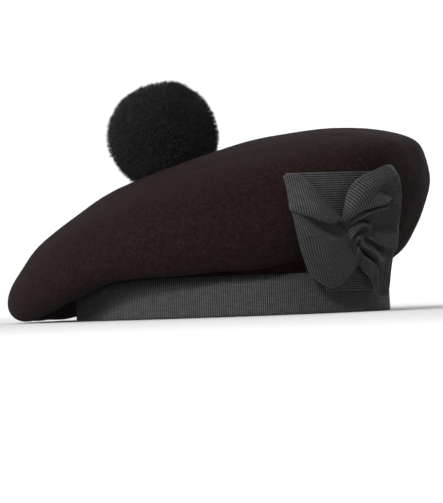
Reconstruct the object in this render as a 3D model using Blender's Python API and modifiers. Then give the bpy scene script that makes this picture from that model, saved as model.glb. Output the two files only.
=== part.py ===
"""Balmoral bonnet: a soft felt crown pulled down to one side, a ribbon headband, a toorie and a cockade.

The bonnet stands on its headband with the front towards -Y and the low side of the crown towards -X.
The origin is the middle of the head opening, on the surface that the bonnet rests on. Lengths are metres.
"""

import math
from collections import namedtuple

import bmesh
import bpy
import numpy as np
from mathutils import Vector
from mathutils.bvhtree import BVHTree

# Head opening and headband
HEAD_WIDTH = 0.182
HEAD_DEPTH = 0.189
FELT = 0.0022
RIBBON = 0.001
PIECE_GAP = 0.0003
BAND_HEIGHT = 0.0242
BAND_TURN_UP = 0.012
BAND_FOLD = 0.0008

# Crown
CROWN_WIDTH = 0.2586
CROWN_DEPTH = 0.244
CROWN_RISE = 0.0675
CROWN_LEAN = 0.034
CROWN_NOD = 0.006
CROWN_SHIFT = 0.037
SEAT_DEPTH = 0.006
HEM_CLEARANCE = 0.0005
TURN_CLEARANCE = 0.0034
FLOOR_EASE = 0.0034

# Toorie
TOORIE_WIDTH = 0.0676
TOORIE_HEIGHT_OVER_SEAT = 0.0255
TUFT_LENGTH = 0.0045
TUFT_TIP_SHARE = 0.62
SHORTEST_TUFT_SHARE = 0.7
TOORIE_CLEARANCE = 0.0007

# Cockade
COCKADE_WIDTH = 0.078
COCKADE_HEIGHT = 0.078
COCKADE_ANGLE = math.radians(-51.6)
COCKADE_TILT = math.radians(14.0)
COCKADE_MIDDLE_HEIGHT = 0.0423
COCKADE_CLEARANCE = 0.001
BOW_CLEARANCE = 0.0007
BOW_PUFF = 0.0065
GATHER_HEIGHT = 0.0016
GATHER_PLEATS = 2.5
GATHER_SPAN = 0.09
FOLD_BLUNTNESS = 0.6
FOLD_LEAN_CREST = 0.4
STAND_OFF_LEFT = 0.0008
STAND_OFF_RIGHT = 0.005
WALL_FOOT_SHARE = 0.3

# Fineness of the meshes
CAGE_COLUMNS = 24
SMOOTHING = 1
TUFT_FINENESS = 3
BOW_LONG_STEPS = 28
BOW_CROSS_STEPS = 22
BACKING_STEPS = 10
WALL_STEPS = 8
BAND_ROWS = 3

# Each ring of the crown's cage, from above the band out to the rim and in over the top. Its half width is
# band x the band's + crown x the crown's. Its height is rise x CROWN_RISE over the band, lean x CROWN_LEAN
# higher on the right, nod x CROWN_NOD higher in front, less dish x SEAT_DEPTH. It lies shift x CROWN_SHIFT
# to the left. A cage stands a little outside its cloth, so the rim's shares pass 1.
Ring = namedtuple("Ring", "name band crown rise lean nod shift dish")
CROWN_RINGS = (
    Ring("turn", 0.945, 0.055, 0.105, 0.02, 0.13, -0.06, 0),
    Ring("under", 0.68, 0.32, 0.0, 0.375, 0.5, 0, 0),
    Ring("roll_low", 0.26, 0.74, 0.0, 0.875, 0.87, 0.16, 0),
    Ring("rim", -0.09, 1.09, 0.255, 0.98, 1.05, 0.24, 0),
    Ring("roll_high", 0, 0.975, 0.565, 1.03, 0.97, 0.16, 0),
    Ring("shoulder", 0, 0.895, 0.76, 0.89, 1.1, 0.09, 0),
    Ring("top_outer", 0, 0.63, 0.955, 0.71, 0.63, 0.28, 0),
    Ring("top_mid", 0, 0.385, 1.0, 0.5, 0.33, 0.735, 0),
    Ring("seat_edge", 0, 0.155, 0.99, 0.19, 0, 1.0, 0.2),
    Ring("seat", 0, 0.06, 0.99, 0.06, 0, 1.02, 1.0),
)

# Each station of the bow, from its left end over the gather to its right end: where its top edge, upper
# third, lower third and bottom edge lie, as shares of half the cockade's width (along) and height (up),
# and how far each puffs out, as a share of BOW_PUFF. At both ends the ribbon turns back to the wall.
Station = namedtuple("Station", "name along_top up_top along_upper up_upper along_lower up_lower "
                     "along_bottom up_bottom puff_top puff_upper puff_lower puff_bottom")
BOW_STATIONS = (
    Station("left_turn", -0.97, 0.95, -0.99, 0.44, -1.00, -0.10, -0.95, -0.44, 0, 0, 0, 0),
    Station("left_end", -0.96, 1.00, -0.96, 0.46, -0.98, -0.12, -0.90, -0.50, 0.3, 0.4, 0.4, 0.3),
    Station("left_outer", -0.74, 0.97, -0.74, 0.42, -0.72, -0.20, -0.64, -0.69, 0.4, 0.8, 0.9, 0.4),
    Station("left_inner", -0.47, 0.63, -0.43, 0.32, -0.36, -0.20, -0.28, -0.64, 0.4, 0.7, 0.9, 0.4),
    Station("gather", -0.22, 0.34, -0.13, 0.12, 0.00, -0.14, 0.13, -0.38, 0.2, 0.2, 0.2, 0.1),
    Station("right_inner", -0.13, 0.72, 0.08, 0.42, 0.26, -0.15, 0.32, -0.58, 0.5, 0.9, 0.7, 0.3),
    Station("right_outer", 0.36, 1.02, 0.54, 0.50, 0.68, -0.18, 0.64, -0.82, 0.7, 0.8, 0.4, 0.2),
    Station("right_end", 0.86, 1.12, 0.93, 0.52, 0.97, -0.12, 0.93, -0.86, 0.5, 0.5, 0.3, 0.2),
    Station("right_turn", 0.97, 1.04, 1.02, 0.48, 1.05, -0.12, 0.99, -0.83, 0, 0, 0, 0),
)

# The backing ribbon's two ends, as shares of half the cockade's width and height.
Edge = namedtuple("Edge", "left right up")
BACKING_FOOT = Edge(-0.5, 0.96, -0.76)
BACKING_HEAD = Edge(-0.90, 1.06, 1.03)

# Each fold of the bow runs from the gather, at share `start` of the width (1 top, -1 bottom), to the share
# `end` where it dies, at `reach` of the loop's length. side is -1 left or 1 right. Its crest is `spread` of
# the half width wide, stands `crest` x BOW_PUFF proud, and leans `lean` of its spread down over the cloth.
Fold = namedtuple("Fold", "name side start end reach spread crest lean")
BOW_FOLDS = (
    Fold("left_flap", -1, 0.9, 0.48, 1.15, 0.22, 0.45, 0.5),
    Fold("left_crease", -1, 0.6, 0.16, 1.05, 0.13, -0.5, 0),
    Fold("right_lobe", 1, 0.95, 0.66, 0.95, 0.24, 0.5, 0.5),
    Fold("right_lip", 1, 0.75, 0.36, 0.9, 0.12, 0.45, 0.6),
    Fold("right_hollow", 1, 0.4, 0.04, 1.05, 0.18, -0.7, 0),
    Fold("right_ridge", 1, 0.1, -0.45, 0.62, 0.14, 0.85, -0.4),
)


def clear_scene():
    """Remove every object that is there."""
    for old in list(bpy.data.objects):
        bpy.data.objects.remove(old, do_unlink=True)


def make_material(name, colour, roughness, sheen):
    """A Principled material with the piece's own colour."""
    material = bpy.data.materials.new(name)
    material.use_nodes = True
    shader = material.node_tree.nodes["Principled BSDF"]
    shader.inputs["Base Color"].default_value = (*colour, 1.0)
    shader.inputs["Roughness"].default_value = roughness
    shader.inputs["Metallic"].default_value = 0.0
    shader.inputs["Sheen Weight"].default_value = sheen
    return material


def place_piece(bm, name, material, collection):
    """Turn a finished bmesh into a smooth-shaded object in the collection."""
    mesh = bpy.data.meshes.new(name)
    bm.to_mesh(mesh)
    bm.free()
    mesh.shade_smooth()
    mesh.materials.append(material)
    piece = bpy.data.objects.new(name, mesh)
    collection.objects.link(piece)
    return piece


def add_smoothing(piece):
    """Round a cage with Subdivision Surface."""
    modifier = piece.modifiers.new("Smoothing", "SUBSURF")
    modifier.levels = SMOOTHING
    modifier.render_levels = SMOOTHING


def add_wall(piece, thickness, even=True):
    """Thicken a surface towards the inside, away from its normals."""
    modifier = piece.modifiers.new("Wall", "SOLIDIFY")
    modifier.thickness = thickness
    modifier.offset = -1.0
    modifier.use_even_offset = even


def skin(bm, grid, closed):
    """Join the points of a grid, rows x columns, with four-sided faces, and return the rows of vertices."""
    rows = [[bm.verts.new(point) for point in row] for row in grid]
    columns = len(rows[0])
    for lower, upper in zip(rows, rows[1:]):
        for k in range(columns if closed else columns - 1):
            after = (k + 1) % columns
            bm.faces.new((lower[k], lower[after], upper[after], upper[k]))
    return rows


def felt_half_sizes():
    """Half width and half depth of the felt's outer face where the band binds it."""
    inside = RIBBON + PIECE_GAP + FELT
    return HEAD_WIDTH / 2 + inside, HEAD_DEPTH / 2 + inside


def hem_height():
    """Height of the felt's cut edge, which stands on the folded ribbon."""
    return RIBBON + PIECE_GAP + HEM_CLEARANCE


def crown_sizes():
    """Each ring of the felt as a row: middle x, half width, half depth, height, lean and nod."""
    band_width, band_depth = felt_half_sizes()
    hem = hem_height()
    rows = [
        (0, band_width, band_depth, hem, 0, 0),
        (0, band_width, band_depth, (hem + BAND_HEIGHT) / 2, 0, 0),
        (0, band_width, band_depth, BAND_HEIGHT + TURN_CLEARANCE, 0, 0),
    ]
    for ring in CROWN_RINGS:
        rows.append((
            -ring.shift * CROWN_SHIFT,
            ring.band * band_width + ring.crown * CROWN_WIDTH / 2,
            ring.band * band_depth + ring.crown * CROWN_DEPTH / 2,
            BAND_HEIGHT + ring.rise * CROWN_RISE - ring.dish * SEAT_DEPTH,
            ring.lean * CROWN_LEAN,
            ring.nod * CROWN_NOD,
        ))
    return np.array(rows)


def ring_points(rows, angles):
    """Points of tilted ellipses: rows of sizes by angles.

    None is lower than FLOOR_EASE under the floor, from where smoothing lifts the felt back onto it.
    """
    middle, width, depth, height, lean, nod = (column[:, None] for column in rows.T)
    x = middle + width * np.cos(angles)
    y = depth * np.sin(angles)
    z = height + lean * np.cos(angles) - nod * np.sin(angles)
    return np.stack([x, y, np.maximum(z, -FLOOR_EASE)], axis=-1)


def circle_pull(columns):
    """Share of its cage's radius that a smoothed ring keeps."""
    return (2 + math.cos(2 * math.pi / columns)) / 3


def half_smoothed_pull(columns):
    """Share of its cage's radius that a ring keeps after one level of smoothing."""
    return (3 + math.cos(2 * math.pi / columns)) / 4


def blended(rows, steps):
    """The rows that a smoothed cage passes through, steps to each cage row."""
    ends = np.vstack([2 * rows[:1] - rows[1:2], rows, 2 * rows[-1:] - rows[-2:-1]])
    share = np.arange(steps)[:, None] / steps
    weights = ((1 - share) ** 3, 3 * share ** 3 - 6 * share ** 2 + 4,
               -3 * share ** 3 + 3 * share ** 2 + 3 * share + 1, share ** 3)
    spans = [sum(w * ends[i + k] for k, w in enumerate(weights)) / 6 for i in range(len(rows) - 1)]
    return np.vstack(spans + [rows[-1:]])


def add_crown(material, collection):
    """Felt shell: a loft of rings with the head opening at its foot, closed under the toorie."""
    rows = crown_sizes()
    rows[:, 1:3] /= circle_pull(CAGE_COLUMNS)
    angles = np.arange(CAGE_COLUMNS) * 2 * math.pi / CAGE_COLUMNS
    bm = bmesh.new()
    rings = skin(bm, ring_points(rows, angles), closed=True)
    bm.faces.new(rings[-1])
    crown = place_piece(bm, "crown", material, collection)
    add_smoothing(crown)
    add_wall(crown, FELT)
    return crown


def add_headband(material, collection):
    """Ribbon binding: a U round the felt's edge, flat underneath, higher outside than inside."""
    width, depth = felt_half_sizes()
    outer = PIECE_GAP + RIBBON
    inner = -FELT - PIECE_GAP - RIBBON
    profile = (
        (inner, BAND_TURN_UP),
        (inner, BAND_FOLD),
        (inner + BAND_FOLD, 0.0),
        (outer - BAND_FOLD, 0.0),
        (outer, BAND_FOLD),
        (outer, BAND_HEIGHT),
    )
    swell = half_smoothed_pull(CAGE_COLUMNS) / circle_pull(CAGE_COLUMNS)
    columns = CAGE_COLUMNS * 2
    angles = np.arange(columns) * 2 * math.pi / columns
    rows = np.array([(0, (width + out) * swell, (depth + out) * swell, height, 0, 0)
                     for out, height in profile])
    bm = bmesh.new()
    skin(bm, ring_points(rows, angles), closed=True)
    headband = place_piece(bm, "headband", material, collection)
    headband.data.set_sharp_from_angle(angle=math.radians(30))
    add_wall(headband, RIBBON)
    return headband


def evaluated_tree(piece):
    """Search tree of a piece's finished surface."""
    return BVHTree.FromObject(piece, bpy.context.evaluated_depsgraph_get())


def toorie_middle():
    """Middle of the toorie, over the dished seat at the crown's apex."""
    seat = crown_sizes()[-1]
    return Vector((seat[0], 0.0, seat[3] + TOORIE_HEIGHT_OVER_SEAT))


def tuft_share(index):
    """A repeatable spread of tuft lengths between 0 and 1, from the golden ratio."""
    return (index * (math.sqrt(5) - 1) / 2) % 1.0


def add_toorie(felt, material, collection):
    """Ball of yarn tufts: every face of a ball drawn out into a blunt lock, pressed flat on the felt."""
    middle = toorie_middle()
    head_radius = TOORIE_WIDTH / 2 - TUFT_LENGTH
    bm = bmesh.new()
    bmesh.ops.create_icosphere(bm, subdivisions=TUFT_FINENESS, radius=head_radius)
    drawn = bmesh.ops.extrude_discrete_faces(bm, faces=bm.faces[:])["faces"]
    for index, face in enumerate(drawn):
        centre = face.calc_center_median()
        length = TUFT_LENGTH * (SHORTEST_TUFT_SHARE + (1 - SHORTEST_TUFT_SHARE) * tuft_share(index))
        outward = centre.normalized() * length
        for vert in face.verts:
            vert.co = centre + (vert.co - centre) * TUFT_TIP_SHARE + outward
    for vert in bm.verts:
        distance = felt.ray_cast(middle, vert.co.normalized())[3]
        if distance is not None:
            vert.co *= min(1.0, (distance - TOORIE_CLEARANCE) * 2 / TOORIE_WIDTH)
    bmesh.ops.translate(bm, verts=bm.verts, vec=middle)
    return place_piece(bm, "toorie", material, collection)


def cockade_wall(along, up):
    """Points on the wall that carries the cockade, and the way out of it, for arrays of places on it.

    along and up are shares of half the cockade's width and height. Below the crown's roll the wall runs
    straight down to a foot that stands off from the headband, more on the right than on the left.
    """
    crown_radius = (CROWN_WIDTH + CROWN_DEPTH) / 4
    above_middle = up * COCKADE_HEIGHT / 2
    angle = COCKADE_ANGLE + (along * COCKADE_WIDTH / 2 - above_middle * math.tan(COCKADE_TILT)) / crown_radius
    height = COCKADE_MIDDLE_HEIGHT + above_middle
    names = [ring.name for ring in CROWN_RINGS]
    first = BAND_ROWS + names.index("roll_low")
    last = BAND_ROWS + names.index("top_outer")
    felt = blended(crown_sizes(), WALL_STEPS)[first * WALL_STEPS:last * WALL_STEPS + 1]
    band_width, band_depth = felt_half_sizes()
    foot = np.array([[0, band_width, band_depth, BAND_HEIGHT * WALL_FOOT_SHARE, 0, 0]])
    right_share = np.clip((along + 1) / 2, 0, 1)
    stand_off = STAND_OFF_LEFT + (STAND_OFF_RIGHT - STAND_OFF_LEFT) * right_share + PIECE_GAP + RIBBON
    out = np.stack([np.cos(angle) * CROWN_DEPTH, np.sin(angle) * CROWN_WIDTH, np.zeros_like(angle)], axis=-1)
    out /= np.linalg.norm(out, axis=-1, keepdims=True)
    points = ring_points(np.vstack([foot, felt]), angle)
    points[0] += out * stand_off[:, None]
    above = np.clip((points[:, :, 2] < height).sum(axis=0), 1, len(points) - 1)
    column = np.arange(len(angle))
    low, high = points[above - 1, column], points[above, column]
    share = (height - low[:, 2]) / (high[:, 2] - low[:, 2])
    return low + (high - low) * share[:, None], out


def across(values, share):
    """Cubic through four values at shares 1, 1/3, -1/3 and -1 of the width."""
    places = np.array([1.0, 1 / 3, -1 / 3, -1.0])
    total = 0.0
    for k, value in enumerate(values):
        others = np.delete(places, k)
        total = total + value * np.prod([(share - o) / (places[k] - o) for o in others], axis=0)
    return total


def along_stations(values, place):
    """Smooth curve through evenly spaced station values, for places from 0 to 1."""
    values = np.asarray(values, float)
    count = len(values)
    matrix = np.zeros((count, count))
    for k in range(1, count - 1):
        matrix[k, k - 1:k + 2] = np.array([1, 4, 1]) / 6
    matrix[0, 0] = matrix[-1, -1] = 1.0
    control = np.linalg.solve(matrix, values)
    control = np.concatenate([[2 * control[0] - control[1]], control, [2 * control[-1] - control[-2]]])
    span = np.clip((place * (count - 1)).astype(int), 0, count - 2)
    share = place * (count - 1) - span
    weights = ((1 - share) ** 3, 3 * share ** 3 - 6 * share ** 2 + 4,
               -3 * share ** 3 + 3 * share ** 2 + 3 * share + 1, share ** 3)
    return sum(w * control[span + k] for k, w in enumerate(weights)) / 6


def bow_place(place, share):
    """Where points of the bow lie: along and up as shares, and how far out as a share of BOW_PUFF.

    place runs from 0 at the left end to 1 at the right end, share from 1 at the top edge to -1 at the bottom.
    """
    columns = [np.array(column, float) for column in list(zip(*BOW_STATIONS))[1:]]
    at = [along_stations(column, place) for column in columns]
    along = across(at[0:8:2], share)
    up = across(at[1:8:2], share)
    out = across(at[8:12], share)
    loop = place * 2 - 1
    for fold in BOW_FOLDS:
        run = np.clip(loop * fold.side, 0, None)
        strength = np.sin(np.clip(run / fold.reach, 0, 1) * math.pi) ** FOLD_BLUNTNESS * (run > 0)
        crest = fold.end + (fold.start - fold.end) * (1 - np.clip(run / fold.reach, 0, 1)) ** 2
        reach = (share - crest) / fold.spread
        bump = np.exp(-reach ** 2)
        out = out + fold.crest * strength * bump
        up = up - fold.lean * fold.spread * strength * np.exp(-(reach - FOLD_LEAN_CREST) ** 2)
    return along, up, out


def add_backing(material, collection):
    """Upright ribbon behind the bow, laid on the crown and standing off from the headband below."""
    rise, right = np.meshgrid(np.linspace(0, 1, BACKING_STEPS), np.linspace(0, 1, BACKING_STEPS), indexing="ij")
    left_edge = BACKING_FOOT.left + (BACKING_HEAD.left - BACKING_FOOT.left) * rise
    right_edge = BACKING_FOOT.right + (BACKING_HEAD.right - BACKING_FOOT.right) * rise
    up = BACKING_FOOT.up + (BACKING_HEAD.up - BACKING_FOOT.up) * rise
    points, out = cockade_wall((left_edge + (right_edge - left_edge) * right).ravel(), up.ravel())
    points = points + out * (COCKADE_CLEARANCE + RIBBON)
    bm = bmesh.new()
    skin(bm, points.reshape(*right.shape, 3), closed=False)
    backing = place_piece(bm, "cockade_backing", material, collection)
    add_wall(backing, RIBBON)
    return backing


def add_bow(material, collection):
    """Ribbon bow: one wide ribbon gathered in the middle, its loops puffed out and creased."""
    places = np.linspace(0, 1, BOW_LONG_STEPS + 1)
    shares = np.linspace(-1, 1, BOW_CROSS_STEPS + 1)
    place, share = np.meshgrid(places, shares)
    along, up, out = bow_place(place.ravel(), share.ravel())
    points, way = cockade_wall(along, up)
    lift = COCKADE_CLEARANCE + RIBBON + BOW_CLEARANCE + RIBBON
    near_gather = np.exp(-((place.ravel() - 0.5) / GATHER_SPAN) ** 2)
    pleats = near_gather * np.cos(share.ravel() * GATHER_PLEATS * math.pi) + 0.5
    lift = lift + np.clip(out, 0, None) * BOW_PUFF + pleats * GATHER_HEIGHT
    points = points + way * lift[:, None]
    bm = bmesh.new()
    skin(bm, points.reshape(*place.shape, 3), closed=False)
    bow = place_piece(bm, "cockade_bow", material, collection)
    add_wall(bow, RIBBON, even=False)
    return bow


def main():
    """Build the pieces in one collection."""
    clear_scene()
    collection = bpy.data.collections.new("balmoral_bonnet")
    bpy.context.scene.collection.children.link(collection)
    felt = make_material("maroon_felt", (0.022, 0.009, 0.009), 0.95, 0.3)
    ribbon = make_material("grosgrain_ribbon", (0.018, 0.018, 0.02), 0.6, 0.1)
    yarn = make_material("black_yarn", (0.011, 0.011, 0.012), 0.95, 0.3)
    crown = add_crown(felt, collection)
    add_headband(ribbon, collection)
    bpy.context.view_layer.update()
    add_toorie(evaluated_tree(crown), yarn, collection)
    add_backing(ribbon.copy(), collection)
    add_bow(ribbon.copy(), collection)


main()
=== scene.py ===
"""Looks of a balmoral bonnet: felt crown, ribbon headband, yarn toorie and gathered ribbon cockade.

Lengths are metres. +Z is up, the front of the bonnet is towards -Y and the low side of its crown towards -X.
The origin is the middle of the head opening, on the floor that the bonnet stands on.
"""
import logging
import math
from dataclasses import dataclass
from enum import Enum
from typing import Sequence

import bpy
import numpy as np
from mathutils import Matrix, Vector


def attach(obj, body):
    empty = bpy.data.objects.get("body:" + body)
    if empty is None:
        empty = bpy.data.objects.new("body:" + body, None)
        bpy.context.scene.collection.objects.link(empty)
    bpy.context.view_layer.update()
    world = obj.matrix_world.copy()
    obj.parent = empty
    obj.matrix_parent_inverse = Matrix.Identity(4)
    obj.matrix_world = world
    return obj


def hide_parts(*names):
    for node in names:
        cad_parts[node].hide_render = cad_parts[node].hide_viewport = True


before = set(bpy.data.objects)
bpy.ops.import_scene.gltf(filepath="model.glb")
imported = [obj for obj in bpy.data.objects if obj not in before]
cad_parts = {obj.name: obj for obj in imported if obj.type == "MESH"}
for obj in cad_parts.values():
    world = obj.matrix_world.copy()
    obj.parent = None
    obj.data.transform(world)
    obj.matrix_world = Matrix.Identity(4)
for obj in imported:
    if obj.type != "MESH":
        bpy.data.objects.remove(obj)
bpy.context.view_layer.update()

ROOT = "root"

Array = np.ndarray
Colour = tuple[float, float, float]
Spot = tuple[float, float, float]
Span = tuple[float, float]
Socket = bpy.types.NodeSocket
Material = bpy.types.Material
Piece = bpy.types.Object

FULL_TURN = 2 * math.pi
TINY = 1e-12


class Slot(Enum):
    """The record's material slots."""

    FELT = "felt"
    BAND = "band_ribbon"
    COCKADE = "cockade_ribbon"
    YARN = "yarn"


# Numbers as arrays


def smooth_step(low: float, high: float, values: Array) -> Array:
    """Ease from 0 at low to 1 at high, level at both ends.

    Args:
        low: Value where the result leaves 0.
        high: Value where the result reaches 1.
        values: Where it is wanted.

    Returns:
        3 t squared - 2 t cubed, t being the clipped share of the way from low to high.
    """
    t = np.clip((values - low) / (high - low), 0.0, 1.0)
    return t * t * (3 - 2 * t)


def unit(vectors: Array) -> Array:
    """Vectors scaled to length 1 along their last axis."""
    return vectors / np.maximum(np.linalg.norm(vectors, axis=-1, keepdims=True), TINY)


def stacked(*values: Array | float) -> Array:
    """Values that are broadcast together, side by side on a new last axis."""
    return np.stack(np.broadcast_arrays(*values), axis=-1)


def running_sum(steps: Array) -> Array:
    """Sums of the steps so far, from 0 before the first."""
    return np.concatenate([[0], np.cumsum(steps)])


def even_turn(count: int) -> Array:
    """Angles of even steps round a full turn, from 0."""
    return np.arange(count) * (FULL_TURN / count)


def spline_weights(share: Array) -> tuple[Array, Array, Array, Array]:
    """Weights of the four control values of a uniform cubic B-spline.

    Args:
        share: Share of the way from the second control value to the third.

    Returns:
        The weight of each value, which add up to 1.
    """
    return (
        (1 - share) ** 3 / 6,
        (3 * share**3 - 6 * share**2 + 4) / 6,
        (-3 * share**3 + 3 * share**2 + 3 * share + 1) / 6,
        share**3 / 6,
    )


def with_ends(control: Array) -> Array:
    """Control rows with one more at each end, so that their spline ends on the outer rows."""
    return np.concatenate([2 * control[:1] - control[1:2], control, 2 * control[-1:] - control[-2:-1]])


def grid_normals(points: Array) -> Array:
    """Unit normals of a grid of points, from the cross product of its two directions."""
    return unit(np.cross(np.gradient(points, axis=1), np.gradient(points, axis=0)))


@dataclass(frozen=True)
class Wander:
    """Smooth wandering values in space: the mean of plane waves of random heading and phase.

    A wave's number of turns to a wavelength is drawn from `pace`.
    """

    wavelength: float
    seed: int
    waves: int = 16
    pace: Span = (0.7, 1.4)

    def at(self, points: Array) -> Array:
        """Values from about -1 to 1 at points.

        Args:
            points: Places, with x, y and z on the last axis.

        Returns:
            Sums of sin(heading . point x 2 pi / wavelength + phase), over the root of twice the wave count.
        """
        draw = np.random.default_rng(self.seed)
        heading = unit(draw.normal(size=(self.waves, 3))) * draw.uniform(*self.pace, (self.waves, 1))
        phase = draw.uniform(0, FULL_TURN, self.waves)
        turns = points @ heading.T * (FULL_TURN / self.wavelength) + phase
        return np.sin(turns).sum(axis=-1) / math.sqrt(self.waves * 2)


# Meshes from arrays


def grid_faces(rows: int, columns: int, close_columns: bool = False, close_rows: bool = False) -> Array:
    """Four-sided faces of a grid whose vertices are numbered row by row.

    Args:
        rows: How many rows of vertices there are.
        columns: How many vertices a row has.
        close_columns: Join each row's last vertex to its first.
        close_rows: Join the last row to the first.

    Returns:
        Vertex numbers, four to a face.
    """
    row, column = np.meshgrid(
        np.arange(rows if close_rows else rows - 1),
        np.arange(columns if close_columns else columns - 1),
        indexing="ij",
    )
    row_after, column_after = (row + 1) % rows, (column + 1) % columns
    corners = (
        row * columns + column,
        row * columns + column_after,
        row_after * columns + column_after,
        row_after * columns + column,
    )
    return np.stack(corners, axis=-1).reshape(-1, 4)


def fan_faces(hub: int, rim: Array) -> Array:
    """Triangles from a hub vertex to a closed rim of vertices."""
    return np.stack([np.full(len(rim), hub), rim, np.roll(rim, -1)], axis=-1)


def rim_faces(rows: int, columns: int, behind: int) -> Array:
    """Faces that join the border of a front grid to that of a back grid of the same size.

    Args:
        rows: Rows of each grid.
        columns: Columns of each grid.
        behind: Number of the back grid's first vertex.

    Returns:
        Four-sided faces round the border, facing out of the wall's edge.
    """
    numbers = np.arange(rows * columns).reshape(rows, columns)
    border = np.concatenate([numbers[0, :-1], numbers[:-1, -1], numbers[-1, :0:-1], numbers[:0:-1, 0]])
    after = np.roll(border, -1)
    return np.stack([after, border, border + behind, after + behind], axis=-1)


def capped_faces(rows: int, columns: int) -> list[Array]:
    """Faces of a tube of vertex rows that a fan closes at each end.

    Args:
        rows: How many rows of vertices there are.
        columns: How many vertices a row has.

    Returns:
        The tube's faces and those of the fans, whose hubs are the two vertices after the last row.
    """
    count = rows * columns
    numbers = np.arange(count)
    fans = [fan_faces(count, numbers[columns - 1::-1]), fan_faces(count + 1, numbers[-columns:])]
    return [grid_faces(rows, columns, close_columns=True), np.concatenate(fans)]


@dataclass(frozen=True)
class Shell:
    """A closed mesh as arrays, and what its finish reads at each vertex.

    Each array of faces has its own count of corners to a face. `cloth` is the place on the flat ribbon: ribs
    along it, metres across it and 0. `tint` is a shade from 0 to 1: on the ribbons the share of painted shade
    between the ribs, on the yarn random tone times painted shade towards the roots, on the nap random tone.
    """

    points: Array
    faces: Sequence[Array]
    cloth: Array | None = None
    tint: Array | None = None

    def outward_faces(self) -> list[Array]:
        """Turn the faces round where the volume that they enclose comes out negative.

        Returns:
            The arrays of faces, as they are or with their corners in reverse order.
        """
        volume = 0.0
        for corners in self.faces:
            first, *others = np.moveaxis(self.points[corners], 1, 0)
            for second, third in zip(others, others[1:]):
                volume += np.einsum("ij,ij->i", first, np.cross(second, third)).sum()
        return [corners[:, ::-1] if volume < 0 else corners for corners in self.faces]

    def piece(self, name: str, material: Material, slot: Slot, *nodes: str) -> Piece:
        """Make a smooth-shaded mesh object at the origin and tie it to the bonnet.

        Args:
            name: Name of the object.
            material: Finish of the whole piece.
            slot: Not used.
            *nodes: Solids of the model that the piece stands for.

        Returns:
            The new object, linked to the scene.
        """
        faces = self.outward_faces()
        sizes = np.concatenate([np.full(len(corners), corners.shape[1]) for corners in faces])
        numbers = np.concatenate([corners.ravel() for corners in faces]).astype(np.int32)
        mesh = bpy.data.meshes.new(name)
        mesh.vertices.add(len(self.points))
        mesh.vertices.foreach_set("co", np.ascontiguousarray(self.points, np.float32).ravel())
        mesh.loops.add(len(numbers))
        mesh.loops.foreach_set("vertex_index", numbers)
        mesh.polygons.add(len(sizes))
        mesh.polygons.foreach_set("loop_start", (np.cumsum(sizes) - sizes).astype(np.int32))
        mesh.update(calc_edges=True)
        mesh.shade_smooth()
        for label, kind, part, values in (
            ("cloth", "FLOAT_VECTOR", "vector", self.cloth),
            ("tint", "FLOAT", "value", self.tint),
        ):
            if values is not None:
                layer = mesh.attributes.new(label, kind, "POINT")
                layer.data.foreach_set(part, np.ascontiguousarray(values, np.float32).ravel())
        mesh.materials.append(material)
        piece = bpy.data.objects.new(name, mesh)
        bpy.context.scene.collection.objects.link(piece)
        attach(piece, ROOT)
        if nodes:
            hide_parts(*nodes)
        return piece


HAIR_VERTICES = 7
HAIR_QUADS = ((0, 1, 4, 3), (1, 2, 5, 4), (2, 0, 3, 5))
HAIR_TRIANGLES = ((3, 4, 6), (4, 5, 6), (5, 3, 6), (2, 1, 0))


@dataclass(frozen=True)
class Hairs:
    """Closed bent hairs that taper: a triangle at the root, a thinner one on the way and a point.

    `stray` is the spread of the headings, and `bend` that of a tip's swing aside as a share of the length.
    `length` and `radius` are ranges. `skew` is a heading that no hair is likely to share.
    """

    stray: float
    length: Span
    bend: float
    radius: Span
    middle_way: float = 0.55
    middle_bend: float = 0.3
    middle_radius: float = 0.75
    skew: Spot = (0.31, 0.17, 0.53)

    def grow(self, roots: Array, ways: Array, draw: np.random.Generator) -> tuple[Array, list[Array]]:
        """Draw each hair's heading, length, bend and radius, and build it.

        Args:
            roots: Where each hair starts.
            ways: The way that each heading strays from.
            draw: Source of the random values.

        Returns:
            Vertices, seven to a hair, and arrays of faces.
        """
        leads = unit(ways + draw.normal(0, self.stray, ways.shape))
        lengths = draw.uniform(*self.length, len(ways))[:, None]
        bends = draw.normal(0, self.bend, ways.shape) * lengths
        radii = draw.uniform(*self.radius, len(ways))[:, None, None]
        side = unit(np.cross(leads, np.roll(leads, 1, axis=1) + np.array(self.skew)))
        turn = even_turn(3)[None, :, None]
        ring = (np.cos(turn) * side[:, None] + np.sin(turn) * np.cross(leads, side)[:, None]) * radii
        middle = roots + leads * lengths * self.middle_way + bends * self.middle_bend
        tip = roots + leads * lengths + bends
        rings = [roots[:, None] + ring, middle[:, None] + ring * self.middle_radius, tip[:, None]]
        start = np.arange(len(ways))[:, None] * HAIR_VERTICES
        faces = [
            np.concatenate([start + np.array(corners) for corners in sides])
            for sides in (HAIR_QUADS, HAIR_TRIANGLES)
        ]
        return np.concatenate(rings, axis=1).reshape(-1, 3), faces


# Finishes

# Places of a Mix node's share and two colours among its inputs, and of the mixed colour among its outputs.
MIX_INPUTS = (0, 6, 7)
MIX_RESULT = 2


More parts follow.
